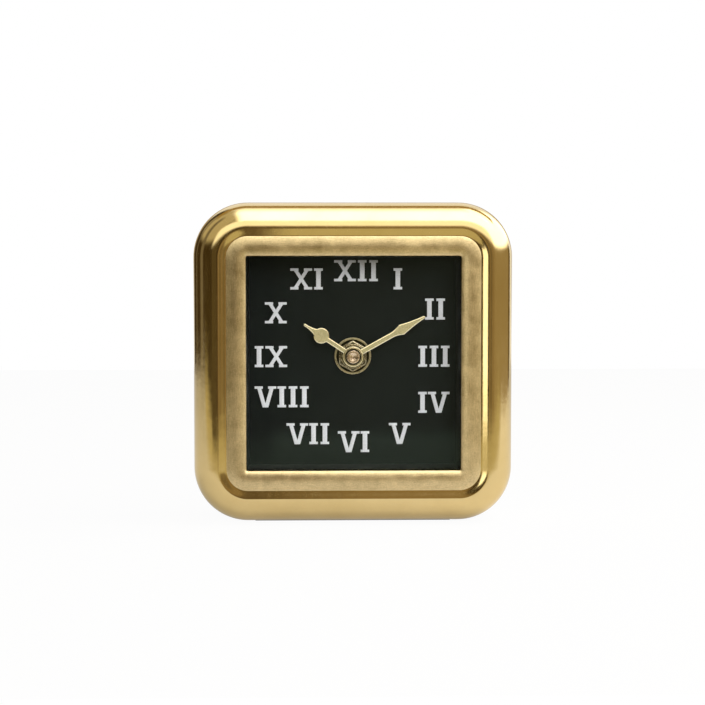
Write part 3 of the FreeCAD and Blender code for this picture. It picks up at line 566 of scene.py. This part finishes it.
def hand(name, node, body):
    """The hand's own form with a sloped border round its front, coloured brighter as a painted highlight."""
    width, drop = 0.34, 0.13
    mesh = node_mesh(node)
    facing = [face for face in mesh.faces if face.normal.y < -0.99]
    level = max(facing, key=lambda face: face.calc_area()).calc_center_median().y
    front = [face for face in facing if abs(face.calc_center_median().y - level) < SAME_LEVEL]
    border = bmesh.ops.inset_region(mesh, faces=front, thickness=width * MM, use_even_offset=True)["faces"]
    inner = {vert for face in front for vert in face.verts}
    for vert in {vert for face in border for vert in face.verts} - inner:
        vert.co.y += drop * MM
    # the border takes the second finish, a painted highlight
    for face in border:
        face.material_index = 1
    new_piece(name, to_data(mesh, name), ["hand", "painted_highlight_edge"], body, "hand_brass", node)


def turned(name, bands, body, slot, *replaced):
    """A turned piece on the hands' axis: bands are (finish, profile) pairs."""
    mesh = bmesh.new()
    order = list(dict.fromkeys(finish for finish, _ in bands))
    for finish, profile in bands:
        lathe(mesh, profile, (0, AXIS), TURNED_STEPS, order.index(finish))
    bmesh.ops.remove_doubles(mesh, verts=mesh.verts, dist=WELD)
    bmesh.ops.recalc_face_normals(mesh, faces=mesh.faces)
    new_piece(name, to_data(mesh, name), order, body, slot, *replaced)


def hex_side(bearing):
    """How far the nut's side is from the axis, with a corner straight down."""
    turn = (bearing + math.radians(30)) % math.radians(60) - math.radians(30)
    return NUT_FLATS / 2 / math.cos(turn)


def nut_levels(side):
    """Reach, depth and finish of each of the nut's rings, where its side is so far from the axis. Finish 0 is
    painted shade, 1 the nut brass.
    """
    cone = NUT_FRONT + (side - NUT_CROWN) * NUT_SLOPE
    return [
        (side, NUT_BACK, 0),
        (side, cone + 0.28, 0),
        (side - 0.12, cone + 0.06, 1),
        (side - 0.62, cone - 0.06, 1),
        (NUT_CROWN + 0.08, NUT_FRONT + 0.10, 0),
        (NUT_CROWN - 0.05, NUT_FRONT, 1),
        (NUT_CROWN - 0.40, NUT_FRONT, 1),
        (NUT_CROWN - 0.48, NUT_FRONT + 0.30, 0),
        (NUT_CROWN - 0.70, NUT_FRONT + 0.30, 0),
        (NUT_CROWN - 0.78, NUT_FRONT + 0.05, 1),
        (NUT_CROWN - 1.00, NUT_FRONT + 0.05, 1),
        (BORE, NUT_FRONT + 0.20, 0),
        (BORE, NUT_BACK, 0),
    ]


def nut_mesh():
    """A hexagon nut whose crown is turned to a cone, with a recess round its thread. Its flanks, cone, steps,
    bore and back are painted shade between lighter rings of nut brass.
    """
    bearings = [2 * math.pi * step / NUT_STEPS for step in range(NUT_STEPS)]
    columns = [nut_levels(hex_side(bearing)) for bearing in bearings]
    mesh = bmesh.new()
    rows = [
        [
            mesh.verts.new(to_point(reach * math.cos(bearing), depth, AXIS + reach * math.sin(bearing)))
            for bearing, (reach, depth, _) in zip(bearings, level)
        ]
        for level in zip(*columns)
    ]
    for index, row in enumerate(rows):
        following = (index + 1) % len(rows)
        other = rows[following]
        for step in range(NUT_STEPS):
            after = (step + 1) % NUT_STEPS
            face = mesh.faces.new((row[step], row[after], other[after], other[step]))
            face.smooth = index not in (0, len(rows) - 1)
            face.material_index = columns[0][following][2]
    bmesh.ops.recalc_face_normals(mesh, faces=mesh.faces)
    return to_data(mesh, "fixing_nut")


new_piece("frame_casting", case_mesh(), ["polished", "brushed", "cast"], "case", "case_brass", "case")
eased("roman_numerals", "numerals", "silver", "case", "silver_print", 0.05, 2)
hand("minute_blade", "minute_hand", "minute")
hand("hour_blade", "hour_hand", "hour")
# the fixing nut's first finish is painted shade
new_piece("fixing_nut", nut_mesh(), ["painted_shade", "nut"], "case", "nut_brass", "hex_nut")
washer_border = [
    (WASHER_RADIUS, WASHER_BACK), (WASHER_RADIUS, 17.98), (8.08, 17.86),
    (7.95, 17.80), (7.26, 17.80), (7.16, 17.86),
]
# The washer's dish round the nut is painted shade; its rim is plain washer brass.
washer_bands = [
    ("washer", washer_border),
    ("painted_shade", [washer_border[-1], (7.12, WASHER_DISH), (6.1, WASHER_DISH), (BORE, WASHER_DISH)]),
    ("washer", [(BORE, WASHER_DISH), (BORE, WASHER_BACK), (WASHER_RADIUS, WASHER_BACK)]),
]
turned("fixing_washer", washer_bands, "case", "nut_brass", "brass_washer")
cap_profile = [
    (CAP_BORE, CAP_BACK), (2.95, CAP_BACK), (2.95, CAP_FRONT + 0.35), (2.88, CAP_FRONT + 0.12),
    (2.70, CAP_FRONT), (1.95, CAP_FRONT), (1.80, CAP_FRONT + 0.06), (0.9, CAP_FRONT + 0.30),
    (0.35, CAP_FRONT + 0.46), (0, CAP_FRONT + 0.5),
]
turned("cap_nut", [("cap", cap_profile)], "minute", "nut_brass", "hand_nut")
# A thin ring on the minute boss: a painted shade disc round the cap nut and a painted highlight on the boss's
# rim.
boss_shade_and_highlight_bands = [
    ("painted_shade", [(2.0, BOSS_FRONT + 0.02), (2.0, BOSS_SHADE_FRONT), (3.68, BOSS_SHADE_FRONT)]),
    ("painted_highlight_edge", [(3.68, BOSS_SHADE_FRONT), (3.74, 11.98), (3.95, 11.90), (4.25, 11.92), (4.46, 12.10)]),
]
turned("boss_shade_and_highlight", boss_shade_and_highlight_bands, "minute", "hand_brass")
eased("bezel_spacer", "spacer_frame", "spacer", "case", "black_plastic", 0.15, 3)
eased("rear_plate", "back_plate", "back", "case", "back_black", 0.35, 3)
eased("rear_screws", "back_screws", "screw", "case", "steel", 0.12, 2)
eased("set_knob", "setting_knob", "movement", "setting", "movement_black", 0.15, 2)

# Nodes that keep their CAD form, by finish
carried = {
    "felt": ["felt_pad"],
    "glass": ["glass_pane"],
    "dial": ["dial_plate"],
    "board": ["dial_board"],
    "arbor": ["threaded_bushing"],
    "rubber": ["rubber_washer"],
    "magnet": ["rotor_magnet"],
    "copper": ["coil_winding"],
    "circuit": ["circuit_board"],
    "cell": ["battery"],
    "steel": ["board_screws", "stator", "coil_core", "quartz_crystal", "positive_contact", "negative_contact"],
    "wheel": [
        "hour_wheel", "centre_wheel", "minute_wheel", "third_wheel", "seconds_wheel",
        "intermediate_wheel", "rotor_pinion", "coil_bobbin",
    ],
    "movement": ["setting_stem", "movement_front_shell", "movement_back_shell", "train_bridge", "ic_chip"],
}
for finish, names in carried.items():
    for name in names:
        for material_slot in nodes[name].material_slots:
            material_slot.material = finishes[finish]


# Floor, world, lamps and the room that the metal mirrors, in metres
CARD_STEPS = 48


def emission(name, colour, strength):
    """Light of one colour that shows as far as the mesh's cover goes."""
    material = bpy.data.materials.new(name)
    tree = Nodes(material, "ShaderNodeOutputMaterial")
    clear = tree.add("ShaderNodeBsdfTransparent")
    light = tree.add("ShaderNodeEmission", {"Color": (*colour, 1), "Strength": strength})
    cover = tree.add("ShaderNodeAttribute", attribute_name="cover")
    tree.surface(tree.mix(cover.outputs["Fac"], clear.outputs["BSDF"], light.outputs["Emission"]))
    material.cycles.emission_sampling = "NONE"
    return material


def smooth(value):
    """Rises from 0 to 1 with level ends."""
    value = min(max(value, 0.0), 1.0)
    return value * value * (3 - 2 * value)


def show_card(name, place, ends, soft, colour, strength):
    """A card seen only in reflections. It fades over soft at its ends, which are in place's own units."""
    (low_u, high_u), (low_v, high_v) = ends
    mesh = bmesh.new()
    layer = mesh.verts.layers.float.new("cover")
    grid = []
    for i in range(CARD_STEPS + 1):
        u = low_u + (high_u - low_u) * i / CARD_STEPS
        side_cover = smooth(min(u - low_u, high_u - u) / soft[0])
        column = []
        for j in range(CARD_STEPS + 1):
            v = low_v + (high_v - low_v) * j / CARD_STEPS
            vert = mesh.verts.new(place(u, v))
            vert[layer] = side_cover * smooth(min(v - low_v, high_v - v) / soft[1])
            column.append(vert)
        grid.append(column)
    for column, following in zip(grid, grid[1:]):
        for j in range(CARD_STEPS):
            mesh.faces.new((column[j], following[j], following[j + 1], column[j + 1]))
    data = to_data(mesh, name)
    data.materials.append(emission(name, colour, strength))
    piece = place_object(name, data)
    piece.visible_camera = False
    piece.visible_diffuse = False
    piece.visible_shadow = False


def round_card(name, sides, levels, colour, soft, radius, strength=1.0):
    """Part of a sphere round the clock. Bearings run from the front towards +X, in degrees."""
    def place(side, level):
        a, b = math.radians(side), math.radians(level)
        return (
            radius * math.sin(a) * math.cos(b),
            -radius * math.cos(a) * math.cos(b),
            radius * math.sin(b) + CENTRE * MM,
        )

    show_card(name, place, (sides, levels), soft, colour, strength)


def level_card(name, across, along, height, colour, soft, strength=1.0):
    """A level card at a height above the floor."""
    show_card(name, lambda x, y: (x, y, height), (across, along), soft, colour, strength)


def upright_card(name, across, levels, distance, colour, soft, strength=1.0):
    """A card square to the clock's front, at a distance from its middle."""
    show_card(name, lambda x, z: (x, -distance, z), (across, levels), soft, colour, strength)


def floor_plane():
    """A pale floor, white to whatever looks at it but for a share that keeps the shadow."""
    left, right, near, far = -0.95, 0.65, -0.37, 0.9
    data = bpy.data.meshes.new("floor")
    corners = [(left, near, 0), (right, near, 0), (right, far, 0), (left, far, 0)]
    data.from_pydata(corners, [], [(0, 1, 2, 3)])
    material = bpy.data.materials.new("floor")
    tree = Nodes(material, "ShaderNodeOutputMaterial")
    paper = tree.add("ShaderNodeBsdfDiffuse", {"Color": (0.62, 0.60, 0.58, 1)})
    white = tree.add("ShaderNodeEmission")
    share = tree.ray_share({"Is Camera Ray": 0.96, "Is Transmission Ray": 0.96, "Is Glossy Ray": 0.30})
    tree.surface(tree.mix(share, paper.outputs["BSDF"], white.outputs["Emission"]))
    data.materials.append(material)
    place_object("floor", data)


def world_light():
    """White to whatever looks at it, and weaker as a light."""
    world = bpy.data.worlds.new("studio")
    bpy.context.scene.world = world
    tree = Nodes(world, "ShaderNodeOutputWorld")
    soft = tree.add("ShaderNodeBackground", {"Color": (1, 0.98, 0.95, 1), "Strength": 0.45})
    white = tree.add("ShaderNodeBackground", {"Color": (1, 1, 1, 1), "Strength": 1.0})
    share = tree.ray_share({"Is Camera Ray": 1.0, "Is Glossy Ray": 1.0, "Is Transmission Ray": 1.0})
    tree.surface(tree.mix(share, soft.outputs["Background"], white.outputs["Background"]))


def lamp(name, place, aim, size, watts, colour):
    light = bpy.data.lights.new(name, "AREA")
    light.shape = "RECTANGLE"
    light.size, light.size_y = size
    light.energy = watts
    light.color = colour
    piece = place_object(name, light)
    piece.location = place
    piece.rotation_euler = (Vector(aim) - Vector(place)).to_track_quat("-Z", "Y").to_euler()
    return piece


floor_plane()
world_light()
lamp("overhead_softbox", (0.55, -0.12, 0.75), (0, 0, 0.05), (0.8, 0.7), 9, (1, 0.98, 0.94))
front_softbox = lamp("front_softbox", (0.25, -1.0, 0.55), (0, 0, 0.07), (0.5, 0.5), 5, (1, 0.99, 0.97))
front_softbox.visible_glossy = False
round_card("room_front", (-14, 60), (-40, 34), (0.30, 0.22, 0.11), (8, 10), 0.96)
round_card("room_left", (-156, 2), (-40, 62), (0.056, 0.037, 0.013), (8, 10), 0.94)
round_card("room_right", (30, 134), (-40, 30), (0.36, 0.28, 0.15), (10, 10), 0.95)
round_card("right_gap", (118, 134), (-40, 58), (0.12, 0.08, 0.02), (4, 10), 0.93)
round_card("right_window", (34, 150), (9, 75), (1, 0.985, 0.95), (12, 8), 0.90, 3.0)
round_card("left_upper", (-140, -8), (16, 75), (0.56, 0.50, 0.34), (12, 10), 0.91)
round_card("front_strip", (-31, -15), (-12, 34), (1, 0.97, 0.86), (3, 6), 0.88, 2.2)
round_card("left_strip", (-104, -84), (-30, 60), (1, 0.85, 0.6), (5, 6), 0.88, 0.2)
round_card("left_front_strip", (-36, -32), (-30, 60), (1, 0.85, 0.6), (1.5, 6), 0.89, 0.2)
round_card("left_rear_strip", (-130, -122), (-30, 60), (1, 0.85, 0.6), (3, 6), 0.88, 0.2)
round_card("rear_wall", (148, 212), (-4, 24), (0.45, 0.33, 0.14), (8, 6), 0.98)
upright_card("left_flag", (-0.27, -0.10), (-0.1, 0.3), 0.30, (0.10, 0.075, 0.035), (0.01, 0.02))
upright_card("left_screen", (-0.080, -0.030), (0.0, 0.125), 0.15, (0.14, 0.10, 0.05), (0.012, 0.035))
upright_card("right_flag", (0.14, 0.27), (-0.3, 0.4), 0.566, (0.20, 0.15, 0.075), (0.02, 0.02))
level_card("ceiling", (-0.22, 0.95), (-1.3, 0.23), 0.62, (1, 0.985, 0.95), (0.10, 0.30), 3.2)
level_card("ceiling_gap", (-0.5, 1.0), (0.20, 0.46), 0.64, (0.40, 0.27, 0.09), (0.06, 0.06))
upright_card("top_light", (-0.20, 0.20), (0.140, 0.26), 0.15, (1, 0.96, 0.85), (0.05, 0.03), 1.5)
level_card("floor_fade", (-0.95, 0.65), (-0.45, -0.10), 0.002, (0.60, 0.53, 0.30), (0.02, 0.12))


# Camera
def camera():
    """A long lens one metre from its aim, a little above the clock's middle and left of it."""
    azimuth, elevation = math.radians(-1.8), math.radians(3.8)
    aim = Vector((-0.0002, -0.012, 0.07485))
    away = Vector((
        math.sin(azimuth) * math.cos(elevation),
        -math.cos(azimuth) * math.cos(elevation),
        math.sin(elevation),
    ))
    lens = bpy.data.cameras.new("camera")
    lens.lens = 115.8
    lens.sensor_width = 36
    lens.clip_start = 0.01
    piece = place_object("camera", lens)
    piece.location = aim + away
    piece.rotation_euler = (-away).to_track_quat("-Z", "Y").to_euler()
    bpy.context.scene.camera = piece


camera()
bpy.context.scene.view_settings.view_transform = "Standard"
